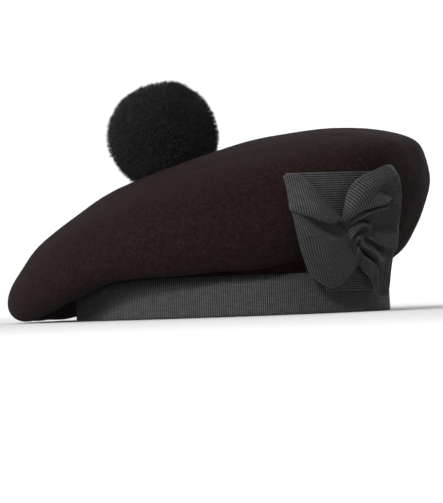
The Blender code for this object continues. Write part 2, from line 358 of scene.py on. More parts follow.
class NodeBench:
    """Places and links the nodes of one node tree."""

    def __init__(self, tree: bpy.types.NodeTree) -> None:
        """Keep the tree that nodes are added to."""
        self.tree = tree

    def feed(self, socket: Socket, value: object) -> None:
        """Link a socket into another, or set its number or colour.

        Args:
            socket: The socket that is fed.
            value: The socket to link from, a number, a vector, or a colour with or without its alpha.
        """
        if isinstance(value, Socket):
            self.tree.links.new(value, socket)
        elif socket.type == "RGBA" and len(value) == 3:
            socket.default_value = (*value, 1.0)
        else:
            socket.default_value = value

    def fill(self, node: bpy.types.Node, **values: object) -> bpy.types.Node:
        """Fill a node's sockets and settings.

        Args:
            node: The node.
            **values: A setting of the node by its name, or what feeds a socket, by the socket's name with
                underscores for spaces.

        Returns:
            The same node.
        """
        for name, value in values.items():
            if hasattr(node, name):
                setattr(node, name, value)
            else:
                self.feed(node.inputs[name.replace("_", " ")], value)
        return node

    def add(self, kind: str, **values: object) -> bpy.types.Node:
        """Add a node of Blender's kind and fill it."""
        return self.fill(self.tree.nodes.new(kind), **values)

    def result(self, kind: str, *values: object, **settings: object) -> Socket:
        """Add a node, feed its inputs in their order and give back its first output.

        Args:
            kind: Blender's name for the node.
            *values: What feeds each input.
            **settings: Settings of the node by their names.

        Returns:
            The output.
        """
        node = self.add(kind, **settings)
        for socket, value in zip(node.inputs, values):
            self.feed(socket, value)
        return node.outputs[0]

    def maths(self, operation: str, *values: object) -> Socket:
        """Add a Math node and give back its result."""
        return self.result("ShaderNodeMath", *values, operation=operation)

    def vector(self, operation: str, *values: object) -> Socket:
        """Add a Vector Math node and give back its result."""
        return self.result("ShaderNodeVectorMath", *values, operation=operation)

    def remap(self, value: Socket, found: Span, wanted: Span) -> Socket:
        """Map the range that is found to the one that is wanted, clamped."""
        return self.result("ShaderNodeMapRange", value, *found, *wanted)

    def attribute(self, name: str, output: str) -> Socket:
        """Give an output of a mesh attribute."""
        return self.add("ShaderNodeAttribute", attribute_name=name).outputs[output]

    def blend(self, share: object, first: object, second: object) -> Socket:
        """Mix two colours.

        Args:
            share: How much of the second colour shows, as a number or a socket.
            first: The colour at 0, as a socket or three numbers.
            second: The colour at 1.

        Returns:
            The mixed colour.
        """
        node = self.add("ShaderNodeMix", data_type="RGBA")
        for place, value in zip(MIX_INPUTS, (share, first, second)):
            self.feed(node.inputs[place], value)
        return node.outputs[MIX_RESULT]


class GroupBench(NodeBench):
    """The bench of a new shader node group with named inputs and outputs."""

    def __init__(self, name: str, takes: dict[str, float | None], gives: Sequence[str]) -> None:
        """Make the group and its sockets.

        Args:
            name: Name of the group.
            takes: Default of each input by its name, or None for a vector.
            gives: Name of each output.
        """
        super().__init__(bpy.data.node_groups.new(name, "ShaderNodeTree"))
        for label, default in takes.items():
            kind = "NodeSocketVector" if default is None else "NodeSocketFloat"
            socket = self.tree.interface.new_socket(label, in_out="INPUT", socket_type=kind)
            if default is not None:
                socket.default_value = default
        for label in gives:
            self.tree.interface.new_socket(label, in_out="OUTPUT", socket_type="NodeSocketFloat")
        self.takes = self.add("NodeGroupInput").outputs
        self.gives = self.add("NodeGroupOutput")


@dataclass(frozen=True)
class Gloss:
    """How a finish takes the light. Its relief is `bump_height` metres high."""

    roughness: float
    specular: float
    sheen: float = 0.0
    sheen_roughness: float = 0.5
    sheen_tint: Colour = (1.0, 1.0, 1.0)
    bump_strength: float = 0.0
    bump_height: float = 0.0


class MaterialBench(NodeBench):
    """The bench of a new material, with its Principled shader."""

    def __init__(self, name: str, shown: Colour) -> None:
        """Make the material.

        Args:
            name: Name of the material.
            shown: Its plain colour in a viewport.
        """
        self.material = bpy.data.materials.new(name)
        self.material.use_nodes = True
        self.material.diffuse_color = (*shown, 1.0)
        super().__init__(self.material.node_tree)

    def finish(self, gloss: Gloss, colour: object, height: Socket | None = None) -> Material:
        """Feed the Principled shader.

        Args:
            gloss: How the surface takes the light.
            colour: The base colour, as a socket or three numbers.
            height: Height of the relief, if there is one.

        Returns:
            The finished material.
        """
        shader = self.fill(
            self.tree.nodes["Principled BSDF"],
            Base_Color=colour,
            Roughness=gloss.roughness,
            Specular_IOR_Level=gloss.specular,
            Sheen_Weight=gloss.sheen,
            Sheen_Roughness=gloss.sheen_roughness,
            Sheen_Tint=gloss.sheen_tint,
        )
        if height is not None:
            relief = self.add(
                "ShaderNodeBump", Height=height, Strength=gloss.bump_strength, Distance=gloss.bump_height)
            self.fill(shader, Normal=relief.outputs[0])
        return self.material


@dataclass(frozen=True)
class FibreEffect:
    """Matted fibres: short bent strands that lie every way, broad clouds, and rare pale specks.

    A strand is the ridge of a noise that is stretched along one axis. Three such noises, one to an axis, are
    bent by a coarse swirl, and the highest of them shows.
    """

    strand_scale: float = 1500.0
    cloud_scale: float = 420.0
    speck_scale: float = 900.0
    swirl_scale: float = 330.0
    swirl_reach: float = 0.004
    strand_stretch: float = 0.16
    ridge: Span = (0.0, 0.1)
    speck_range: Span = (0.6, 0.72)
    cloud_height: float = 0.5

    def build(self) -> bpy.types.NodeTree:
        """Build the node group.

        Returns:
            Its tree, with Strands, Clouds, Specks and Height from 0 to about 1.
        """
        bench = GroupBench(
            "matted_fibres",
            {"Vector": None, "Strand Scale": self.strand_scale, "Cloud Scale": self.cloud_scale,
             "Speck Scale": self.speck_scale},
            ("Strands", "Clouds", "Specks", "Height"),
        )
        place, scale = bench.takes["Vector"], bench.takes["Strand Scale"]
        swirl = bench.add("ShaderNodeTexNoise", Vector=place, Scale=self.swirl_scale, Detail=1.0)
        bent = bench.vector("MULTIPLY_ADD", swirl.outputs["Color"], (self.swirl_reach,) * 3, place)
        highest = None
        for axis in range(3):
            stretched = bench.vector(
                "MULTIPLY", bent, tuple(self.strand_stretch if k == axis else 1.0 for k in range(3)))
            strands = bench.add("ShaderNodeTexNoise", Vector=stretched, Scale=scale, Detail=2.0)
            from_ridge = bench.maths("ABSOLUTE", bench.maths("SUBTRACT", strands.outputs[0], 0.5))
            height = bench.remap(from_ridge, self.ridge, (1.0, 0.0))
            highest = height if highest is None else bench.maths("MAXIMUM", highest, height)
        clouds = bench.add("ShaderNodeTexNoise", Vector=place, Scale=bench.takes["Cloud Scale"], Detail=3.0)
        specks = bench.add("ShaderNodeTexNoise", Vector=bent, Scale=bench.takes["Speck Scale"], Detail=2.0)
        speck_share = bench.remap(specks.outputs[0], self.speck_range, (0.0, 1.0))
        cloud_height = bench.maths("MULTIPLY", clouds.outputs[0], self.cloud_height)
        bench.fill(
            bench.gives,
            Strands=highest,
            Clouds=clouds.outputs[0],
            Specks=bench.maths("MULTIPLY", speck_share, highest),
            Height=bench.maths("ADD", highest, cloud_height),
        )
        return bench.tree


@dataclass(frozen=True)
class ThreadEffect:
    """Fine warp threads that wrap over the ribs of a ribbon, shifted by half a thread from rib to rib."""

    thread_pitch: float = 0.00026
    streaks: Spot = (0.2, 1500.0, 0.0)
    # Range of the rib's crest over which the mask of the painted shade between the ribs fades out.
    groove_shade: Span = (0.12, 0.95)

    def build(self) -> bpy.types.NodeTree:
        """Build the node group.

        Returns:
            Its tree, with Height, Shade and Groove from 0 to 1. Groove is 1 between the ribs, where the
            ribbons take their painted shade.
        """
        bench = GroupBench(
            "warp_threads", {"Cloth": None, "Thread Pitch": self.thread_pitch}, ("Height", "Shade", "Groove"))
        cloth = bench.takes["Cloth"]
        rib, across, _ = bench.add("ShaderNodeSeparateXYZ", Vector=cloth).outputs
        thread = bench.maths("DIVIDE", across, bench.takes["Thread Pitch"])
        shifted = bench.maths("ADD", thread, bench.maths("MULTIPLY", bench.maths("FLOOR", rib), 0.5))
        height, crest = (
            bench.maths("ABSOLUTE", bench.maths("SINE", bench.maths("MULTIPLY", turns, math.pi)))
            for turns in (shifted, rib)
        )
        streaks = bench.add(
            "ShaderNodeTexNoise", noise_dimensions="2D", Scale=1.0, Detail=2.0,
            Vector=bench.vector("MULTIPLY", cloth, self.streaks))
        bench.fill(
            bench.gives,
            Height=bench.maths("MULTIPLY", height, crest),
            Shade=streaks.outputs[0],
            Groove=bench.remap(crest, self.groove_shade, (1.0, 0.0)),
        )
        return bench.tree


class EffectGroups:
    """The shader effects that more than one material uses, each built once."""

    def __init__(self) -> None:
        """Build both groups."""
        self.fibres = FibreEffect().build()
        self.threads = ThreadEffect().build()


@dataclass(frozen=True)
class FeltFinish:
    """Milled wool felt: dark maroon with mixed-in lighter fibres, and a soft sheen from its nap."""

    effects: EffectGroups
    dark: Colour = (0.0038, 0.0014, 0.0014)
    light: Colour = (0.0198, 0.0100, 0.0096)
    speck: Colour = (0.052, 0.032, 0.031)
    strand_scale: float = 2300.0
    strand_light: Span = (0.2, 1.3)
    cloud_range: Span = (0.35, 0.65)
    cloud_light: Span = (0.45, 1.0)
    speck_share: float = 0.5
    gloss: Gloss = Gloss(0.95, 0.08, 0.02, 0.45, (0.85, 0.6, 0.6), bump_strength=0.8, bump_height=0.00018)
    nap_gloss: Gloss = Gloss(0.85, 0.2)

    def material(self) -> Material:
        """Build the felt's material.

        Returns:
            The material.
        """
        bench = MaterialBench("maroon_felt", self.light)
        place = bench.add("ShaderNodeTexCoord").outputs["Object"]
        fibres = bench.add(
            "ShaderNodeGroup", node_tree=self.effects.fibres, Vector=place, Strand_Scale=self.strand_scale
        ).outputs
        strands = bench.remap(fibres["Strands"], (0.0, 1.0), self.strand_light)
        clouds = bench.remap(fibres["Clouds"], self.cloud_range, self.cloud_light)
        mixed = bench.blend(clouds, self.dark, bench.blend(strands, self.dark, self.light))
        specks = bench.maths("MULTIPLY", fibres["Specks"], self.speck_share)
        return bench.finish(self.gloss, bench.blend(specks, mixed, self.speck), fibres["Height"])

    def nap_material(self) -> Material:
        """Build the material of the loose fibres, from dark to pale by each one's tint.

        Returns:
            The material.
        """
        bench = MaterialBench("felt_nap", self.light)
        tint = bench.attribute("tint", "Fac")
        return bench.finish(self.nap_gloss, bench.blend(tint, self.dark, self.speck))


@dataclass(frozen=True)
class RibbonFinish:
    """Grosgrain ribbon: a soft shine, and painted shade in the hollows between the ribs."""

    effects: EffectGroups
    name: str
    thread: Colour
    # Painted shade in the hollows between the ribs; the random streaks also mix towards this colour.
    groove_shade: Colour
    streak_range: Span = (0.3, 0.7)
    streak_depth: Span = (0.0, 0.45)
    gloss: Gloss = Gloss(0.5, 0.14, 0.03, 0.4, bump_strength=0.6, bump_height=0.00008)

    def material(self) -> Material:
        """Build the ribbon's material.

        Returns:
            The material.
        """
        bench = MaterialBench(self.name, self.thread)
        cloth = bench.attribute("cloth", "Vector")
        threads = bench.add("ShaderNodeGroup", node_tree=self.effects.threads, Cloth=cloth).outputs
        streaks = bench.remap(threads["Shade"], self.streak_range, self.streak_depth)
        # Painted shade between the ribs, kept off the selvedges by the tint.
        groove_shade_share = bench.maths("MULTIPLY", threads["Groove"], bench.attribute("tint", "Fac"))
        worn = bench.blend(streaks, self.thread, self.groove_shade)
        return bench.finish(self.gloss, bench.blend(groove_shade_share, worn, self.groove_shade), threads["Height"])


@dataclass(frozen=True)
class YarnFinish:
    """Black cut yarn: matt, greyer at the tips, and darker towards the roots deep between the tufts by
    painted shade.
    """

    effects: EffectGroups
    # Painted shade deep in the ball: at the roots of the yarn ends and all over the core.
    deep_shade: Colour = (0.0028, 0.0028, 0.0032)
    tip: Colour = (0.0112, 0.0112, 0.0114)
    strand_scale: float = 1600.0
    strand_light: Span = (0.55, 1.0)
    gloss: Gloss = Gloss(0.9, 0.3, 0.05, 0.5, bump_strength=0.7, bump_height=0.0002)

    def material(self) -> Material:
        """Build the yarn's material.

        Returns:
            The material.
        """
        bench = MaterialBench("black_yarn", self.tip)
        place = bench.add("ShaderNodeTexCoord").outputs["Object"]
        strands = bench.add(
            "ShaderNodeGroup", node_tree=self.effects.fibres, Vector=place, Strand_Scale=self.strand_scale
        ).outputs["Strands"]
        shade = bench.remap(strands, (0.0, 1.0), self.strand_light)
        # The strand noise times the tint, which carries each tuft's random tone and the painted shade towards
        # the roots.
        light = bench.maths("MULTIPLY", shade, bench.attribute("tint", "Fac"))
        return bench.finish(self.gloss, bench.blend(light, self.deep_shade, self.tip), strands)


# The form that every piece is laid on


@dataclass(frozen=True)
class Ring:
    """A ring of the crown, as shares of the bonnet's sizes.

    Its half width is band x the headband's + crown x the crown's. Its height is rise x the crown's rise over
    the band, lean x the crown's lean higher on the right, nod x its nod higher in front and lift x the roll's
    lift higher, less dish x the seat's depth. It lies shift x the crown's shift to the left.
    """

    name: str
    band: float
    crown: float
    rise: float
    lean: float
    nod: float
    shift: float
    dish: float = 0.0
    lift: float = 0.0


CROWN_RINGS = (
    Ring("turn", 0.945, 0.055, 0.105, 0.02, 0.13, -0.06),
    Ring("under", 0.68, 0.32, 0.0, 0.375, 0.5, 0, lift=0.7),
    Ring("roll_low", 0.26, 0.74, 0.0, 0.875, 0.87, 0.16, lift=1.0),
    Ring("rim", -0.09, 1.09, 0.255, 0.98, 1.05, 0.24, lift=0.35),
    Ring("roll_high", 0, 0.975, 0.565, 1.03, 0.97, 0.16),
    Ring("shoulder", 0, 0.895, 0.76, 0.89, 1.1, 0.09),
    Ring("top_outer", 0, 0.63, 0.955, 0.71, 0.63, 0.28),
    Ring("top_mid", 0, 0.385, 1.0, 0.5, 0.33, 0.735),
    Ring("seat_edge", 0, 0.155, 0.99, 0.19, 0, 1.0, 0.2),
    Ring("seat", 0, 0.06, 0.99, 0.06, 0, 1.02, 1.0),
)


@dataclass(frozen=True)
class BonnetForm:
    """The bonnet's sizes, and the smooth face of the felt that they give.

    In front, the roll rises by `crown_lift` by the crown's low side, and sags by the share `sag` of it beside
    the cockade. The middles and spreads of both are cosines of the angle round the bonnet.
    """

    head_width: float = 0.182
    head_depth: float = 0.189
    felt_thick: float = 0.0022
    ribbon_wall: float = 0.001
    piece_gap: float = 0.0003
    band_height: float = 0.0242
    hem_clearance: float = 0.0005
    turn_clearance: float = 0.0034
    crown_width: float = 0.2586
    crown_depth: float = 0.244
    crown_rise: float = 0.0675
    crown_lean: float = 0.034
    crown_nod: float = 0.006
    crown_shift: float = 0.037
    crown_lift: float = 0.0088
    lift_middle: float = -0.56
    lift_spread: float = 0.25
    sag: float = 0.62
    sag_middle: float = 0.16
    sag_spread: float = 0.2
    lift_front: float = 0.5
    seat_depth: float = 0.006
    floor_ease: float = 0.0034
    toorie_over_seat: float = 0.0255
    normal_step: float = 0.03
    normal_turn: float = 0.01
    hem_rows: int = 3
    rings: tuple[Ring, ...] = CROWN_RINGS

    def felt_half_sizes(self) -> Span:
        """Half width and half depth of the felt's outer face inside the band."""
        inside = self.ribbon_wall + self.piece_gap + self.felt_thick
        return self.head_width / 2 + inside, self.head_depth / 2 + inside

    def rows(self) -> Array:
        """Sizes of the control rings, from the hem to the seat.

        Returns:
            For each ring its middle x, half width, half depth, height, lean, nod, lift and lowest z.
        """
        width, depth = self.felt_half_sizes()
        hem = self.ribbon_wall + self.piece_gap + self.hem_clearance
        heights = (hem, (hem + self.band_height) / 2, self.band_height + self.turn_clearance)
        unbounded = -1.0
        table = [(0, width, depth, height, 0, 0, 0, unbounded) for height in heights]
        for ring in self.rings:
            table.append((
                -ring.shift * self.crown_shift,
                ring.band * width + ring.crown * self.crown_width / 2,
                ring.band * depth + ring.crown * self.crown_depth / 2,
                self.band_height + ring.rise * self.crown_rise - ring.dish * self.seat_depth,
                ring.lean * self.crown_lean,
                ring.nod * self.crown_nod,
                ring.lift * self.crown_lift,
                -self.floor_ease,
            ))
        return np.array(table)

    @property
    def last(self) -> int:
        """Place of the seat: places run from 0 at the hem, one for each ring."""
        return self.hem_rows + len(self.rings) - 1

    def place_of(self, name: str) -> int:
        """Place of a ring by its name."""
        return self.hem_rows + [ring.name for ring in self.rings].index(name)

    def roll_lift(self, angle: Array) -> Array:
        """How far the roll is lifted in front, as a share of the crown's lift.

        Args:
            angle: Round the bonnet from +X towards +Y.

        Returns:
            A bell curve of the angle's cosine for the rise, less one for the sag, both only in front.
        """
        rise, sag = (
            np.exp(-(((np.cos(angle) - middle) / spread) ** 2))
            for middle, spread in ((self.lift_middle, self.lift_spread), (self.sag_middle, self.sag_spread))
        )
        return (rise - self.sag * sag) * smooth_step(0.0, self.lift_front, -np.sin(angle))

    def felt(self, place: Array, angle: Array) -> Array:
        """The felt's outer face.

        A ring is a tilted ellipse: x = middle + half width x cos, y = half depth x sin, z = height + lean x
        cos - nod x sin + lift x the roll's lift, and no lower than its lowest z. A cubic B-spline blends the
        four rings round a place.

        Args:
            place: From 0 at the hem to `last` at the seat.
            angle: Round the bonnet from +X towards +Y, of the same shape.

        Returns:
            Points, with x, y and z on a new last axis.
        """
        rows = with_ends(self.rows())
        place, angle = np.broadcast_arrays(place, angle)
        span = np.clip(np.floor(place).astype(int), 0, self.last - 1)
        total = np.zeros((*place.shape, 3))
        cosine, sine, lifted = np.cos(angle), np.sin(angle), self.roll_lift(angle)
        for k, weight in enumerate(spline_weights(place - span)):
            middle, width, depth, height, lean, nod, lift, lowest = np.moveaxis(rows[span + k], -1, 0)
            z = np.maximum(height + lean * cosine - nod * sine + lift * lifted, lowest)
            total += weight[..., None] * stacked(middle + width * cosine, depth * sine, z)
        return total

    def felt_normal(self, place: Array, angle: Array) -> Array:
        """Unit normals of the felt's outer face, from differences to both sides.

        Args:
            place: From 0 at the hem to `last` at the seat.
            angle: Round the bonnet, of the same shape.

        Returns:
            Unit vectors, with x, y and z on a new last axis.
        """
        low, high = (np.clip(place + step, 0, self.last) for step in (-self.normal_step, self.normal_step))
        along = self.felt(high, angle) - self.felt(low, angle)
        around = self.felt(place, angle + self.normal_turn) - self.felt(place, angle - self.normal_turn)
        return unit(np.cross(around, along))

    def toorie_middle(self) -> Array:
        """Middle of the toorie, over the dished seat."""
        seat = self.rows()[-1]
        return np.array([seat[0], 0.0, seat[3] + self.toorie_over_seat])


@dataclass(frozen=True)
class CockadeWall:
    """The wall that carries the cockade: the crown's side, and below it a fall that stands off the band."""

    form: BonnetForm
    width: float = 0.078
    height: float = 0.078
    angle: float = math.radians(-51.6)
    tilt: float = math.radians(14.0)
    middle_height: float = 0.0423
    stand_off_left: float = 0.0008
    stand_off_right: float = 0.005
    foot_share: float = 0.3
    steps: int = 12

    @property
    def radius(self) -> float:
        """Mean radius of the crown, which turns metres along the wall into angles."""
        return (self.form.crown_width + self.form.crown_depth) / 4

    def at(self, along: Array, up: Array) -> tuple[Array, Array]:
        """Points of the wall and the level way out of it.

        The height gives a place on a line of points that climbs the wall at the angle of `along`, and the
        point there is found by linear steps.

        Args:
            along: Share of half the width, to the right of the middle, as a flat array.
            up: Share of half the height, above the middle.

        Returns:
            Points and unit vectors.
        """
        form = self.form
        above_middle = up * self.height / 2
        angle = self.angle + (along * self.width / 2 - above_middle * math.tan(self.tilt)) / self.radius
        wanted = self.middle_height + above_middle
        first, last = form.place_of("roll_low"), form.place_of("top_outer")
        places = np.linspace(first, last, (last - first) * self.steps + 1)
        right = np.clip((along + 1) / 2, 0, 1)
        off = self.stand_off_left + (self.stand_off_right - self.stand_off_left) * right
        off = off + form.piece_gap + form.ribbon_wall
        out = unit(stacked(np.cos(angle) * form.crown_depth, np.sin(angle) * form.crown_width, 0.0))
        width, depth = form.felt_half_sizes()
        foot = stacked(width * np.cos(angle), depth * np.sin(angle), form.band_height * self.foot_share)
        line = np.concatenate([(foot + out * off[:, None])[None], form.felt(places[:, None], angle[None, :])])
        step = np.clip((line[:, :, 2] < wanted).sum(axis=0), 1, len(line) - 1)
        column = np.arange(len(angle))
        low, high = line[step - 1, column], line[step, column]
        share = (wanted - low[:, 2]) / (high[:, 2] - low[:, 2])
        return low + (high - low) * share[:, None], out

    def nearness(self, points: Array, margin: float) -> Array:
        """How near points of the felt are to the cockade.

        Args:
            points: Points of the felt.
            margin: Metres over which the result eases out round the cockade.

        Returns:
            1 behind the cockade, and 0 from the margin on.
        """
        turn = np.arctan2(points[..., 1], points[..., 0]) - self.angle
        turn = (turn + math.pi) % FULL_TURN - math.pi
        above = points[..., 2] - self.middle_height
        aside = np.abs(turn * self.radius + above * math.tan(self.tilt)) - self.width / 2
        over = np.abs(above) - self.height / 2
        return 1 - smooth_step(0.0, margin, np.maximum(aside, over))


# Pieces


@dataclass(frozen=True)
class Crown:
    """The felt crown: one shell from the hem inside the band, out round the roll and in over the top.

    Slack felt stands in or out by broad and small dents. They fade out at the band, over `slack_places`, and
    near the cockade and the toorie's middle.
    """

    form: BonnetForm
    wall: CockadeWall
    material: Material
    columns: int = 300
    outer_steps: int = 11
    inner_steps: int = 4
    coarse_steps: int = 6
    dents: tuple[tuple[Wander, float], ...] = ((Wander(0.085, 5), 0.0006), (Wander(0.026, 9), 0.0003))
    slack_places: Span = (3.0, 4.5)
    cockade_margin: float = 0.012
    toorie_margin: Span = (0.034, 0.05)

    def relief(self, points: Array, place: Array) -> Array:
        """How far the slack felt stands out.

        Args:
            points: Grid of the smooth face.
            place: Place of each row, from the hem.

        Returns:
            Metres along the normals.
        """
        from_toorie = np.linalg.norm(points - self.form.toorie_middle(), axis=-1)
        free = smooth_step(*self.slack_places, place) * (1 - self.wall.nearness(points, self.cockade_margin))
        free = free * smooth_step(*self.toorie_margin, from_toorie)
        return sum(wander.at(points) * depth for wander, depth in self.dents) * free

    def face(self, steps: int) -> tuple[Array, Array]:
        """Grid of the outer face.

        Args:
            steps: Rows from one ring to the next.

        Returns:
            Points and normals, the hem first.
        """
        place = np.linspace(0, self.form.last, self.form.last * steps + 1)[:, None]
        angle = even_turn(self.columns)[None, :]
        normals = self.form.felt_normal(*np.broadcast_arrays(place, angle))
        points = self.form.felt(place, angle)
        return points + normals * self.relief(points, place)[..., None], normals

    def build(self) -> Piece:
        """Join the outer face, turned round to start at the seat, to the inner one, and close both poles.

        Returns:
            The crown.
        """
        outer, _ = self.face(self.outer_steps)
        inner, normals = self.face(self.inner_steps)
        inner = inner - normals * self.form.felt_thick
        rows = np.concatenate([outer[::-1], inner])
        poles = [outer[-1].mean(axis=0), inner[-1].mean(axis=0)]
        points = np.concatenate([rows.reshape(-1, 3), poles])
        shell = Shell(points, capped_faces(*rows.shape[:2]))
        return shell.piece("felt_crown", self.material, Slot.FELT, "crown")


@dataclass(frozen=True)
class Nap:
    """Loose fibres that stand out of the felt, strewn evenly over its outer face.

    They leave out what lies before `open_places`, behind the cockade, under the toorie and on the floor.
    """

    crown: Crown
    material: Material
    count: int = 18500
    hairs: Hairs = Hairs(stray=0.55, length=(0.0005, 0.0015), bend=0.45, radius=(0.00002, 0.000042))
    upright: Span = (0.35, 1.1)
    root_depth: float = 0.0001
    shade: Span = (0.05, 1.0)
    open_places: Span = (2.7, 3.2)
    cockade_margin: float = 0.001
    toorie_reach: float = 0.033
    floor_gap: float = 0.003
    seed: int = 21

    def openness(self, points: Array) -> Array:
        """Where fibres may stand.

        Args:
            points: Grid of the felt's face, from the hem to the last row before the seat.

        Returns:
            From 0 to 1 for each point.
        """
        form = self.crown.form
        place = np.linspace(0, form.last, len(points) + 1)[:-1, None]
        apart = self.crown.wall.nearness(points, self.cockade_margin) < 0.5
        bare = np.linalg.norm(points - form.toorie_middle(), axis=-1) > self.toorie_reach
        return smooth_step(*self.open_places, place) * apart * bare * (points[..., 2] > self.floor_gap)

    def build(self) -> Piece:
        """Draw cells of the felt's grid by their area, set a hair in each and lean it over.

        Returns:
            The nap.
        """
        draw = np.random.default_rng(self.seed)
        points, normals = (np.concatenate([grid, grid[:, :1]], axis=1)
                           for grid in self.crown.face(self.crown.coarse_steps))
        corner = points[:-1, :-1]
        down, across = points[1:, :-1] - corner, points[:-1, 1:] - corner
        area = np.linalg.norm(np.cross(down, across), axis=-1)
        chance = (area * self.openness(corner)).ravel()
        cell = np.divmod(draw.choice(chance.size, self.count, p=chance / chance.sum()), area.shape[1])
        share = draw.uniform(size=(self.count, 2))
        roots = corner[cell] + down[cell] * share[:, :1] + across[cell] * share[:, 1:]
        ways = normals[cell] * draw.uniform(*self.upright, (self.count, 1))
        vertices, faces = self.hairs.grow(roots - normals[cell] * self.root_depth, ways, draw)
        tint = np.repeat(draw.uniform(*self.shade, self.count) ** 2, HAIR_VERTICES)
        return Shell(vertices, faces, tint=tint).piece("felt_nap", self.material, Slot.FELT)


def rib_rise(along: Array, pitch: float, fullness: float = 0.7) -> Array:
    """How far a ribbon's surface stands up across its ribs, 1 on a rib and 0 midway between two ribs.

    Args:
        along: Metres along the ribbon.
        pitch: Metres from rib to rib.
        fullness: Power that the wave is raised to. A rib is wider at the top the smaller it is.

    Returns:
        Half of 1 - the cosine of a full turn to each pitch, raised to that power.
    """
    return (0.5 - 0.5 * np.cos(FULL_TURN * along / pitch)) ** fullness


@dataclass(frozen=True)
class Headband:
    """The ribbon bound round the felt's edge, folded under it, with upright ribs."""

    form: BonnetForm
    material: Material
    start_angle: float = math.radians(-51.6)
    turn_up: float = 0.012
    corner: float = 0.0015
    corner_points: int = 4
    cloth_thick: float = 0.0007
    rib_pitch: float = 0.0013
    rib_depth: float = 0.00028
    rib_samples: int = 5
    side_steps: int = 2
    wander: Wander = Wander(0.03, 31)
    unevenness: float = 0.00018
    even_height: float = 0.006

    def profile(self) -> Array:
        """Outer line of the folded ribbon, from its inner edge down, under and up.

        Returns:
            Metres out and metres up for each point.
        """
        gap = self.form.piece_gap + self.form.ribbon_wall
        inner, outer = -self.form.felt_thick - gap, gap
        turn = np.linspace(0, math.pi / 2, self.corner_points)
        early, late = self.corner * (1 - np.cos(turn)), self.corner * (1 - np.sin(turn))
        return np.concatenate([
            stacked(inner, np.linspace(self.turn_up, self.corner * 2, self.side_steps)),
            stacked(inner + early, late),
            stacked(outer - late, early),
            stacked(outer, np.linspace(self.corner * 2, self.form.band_height, self.side_steps + 2)),
        ])

    def build(self) -> Piece:
        """Carry the profile round the head's ellipse, sink it between the ribs and close it with its back.

        Returns:
            The headband.
        """
        line = self.profile()
        slope = np.gradient(line, axis=0)
        out_of = unit(np.stack([slope[:, 1], -slope[:, 0]], axis=-1))
        width, depth = self.form.felt_half_sizes()
        girth = math.pi * (width + depth)
        ribs = round(girth / self.rib_pitch)
        columns = ribs * self.rib_samples
        turn = np.arange(columns) / columns
        angle = self.start_angle + turn * FULL_TURN
        sunk = (1 - rib_rise(turn * girth, girth / ribs)) * self.rib_depth
        level = smooth_step(0.0, self.even_height, line[:, 1:]) * self.unevenness
        sway = (self.wander.at(stacked(np.cos(angle), np.sin(angle), 0.0) * width) - 1) * level
        lines = np.concatenate([line, (line - out_of * self.cloth_thick)[::-1]])
        ways = np.concatenate([out_of, out_of[::-1]])
        offs = np.concatenate([sway - sunk, sway[::-1]])
        out, height = (lines[:, k:k + 1] + ways[:, k:k + 1] * offs for k in range(2))
        points = stacked((width + out) * np.cos(angle), (depth + out) * np.sin(angle), height)
        across = running_sum(np.linalg.norm(np.diff(line, axis=0), axis=1))
        across = np.concatenate([across, across[::-1]])
        shell = Shell(
            points.reshape(-1, 3),
            [grid_faces(*points.shape[:2], close_columns=True, close_rows=True)],
            cloth=stacked(turn[None, :] * ribs, across[:, None], 0.0).reshape(-1, 3),
            # Tint 1 all over: the band takes the painted shade between its ribs everywhere.
            tint=np.ones(points.shape[:2]),
        )
        return shell.piece("ribbon_headband", self.material, Slot.BAND, "headband")


def smooth_through(values: Array, place: Array) -> Array:
    """Smooth curve through evenly spaced points: the control points of a cubic B-spline are solved for.

    Args:
        values: Points that the curve goes through, one to a row.
        place: Places from 0 at the first point to 1 at the last.

    Returns:
        The curve's points, one to a row.
    """
    count = len(values)
    matrix = sum(np.eye(count, k=k) * weight for k, weight in ((-1, 1 / 6), (0, 4 / 6), (1, 1 / 6)))
    matrix[[0, -1]] = np.eye(count)[[0, -1]]
    control = with_ends(np.linalg.solve(matrix, values))
    span = np.clip((place * (count - 1)).astype(int), 0, count - 2)
    weights = spline_weights(place * (count - 1) - span)
    return sum(weight[:, None] * control[span + k] for k, weight in enumerate(weights))


@dataclass(frozen=True)
class Rail:
    """A line on the bow's cloth that runs out from the gather to the end of a loop.

    Its spots follow one another from beside the gather to the loop's turned end. Each gives along and up, as
    shares of half the cockade's width and height, and out, as a share of the bow's puff.
    """

    name: str
    spots: tuple[Spot, ...]


GATHER = Rail("gather", ((-0.22, 0.34, 0.2), (-0.13, 0.12, 0.2), (0.0, -0.14, 0.2), (0.13, -0.38, 0.1)))

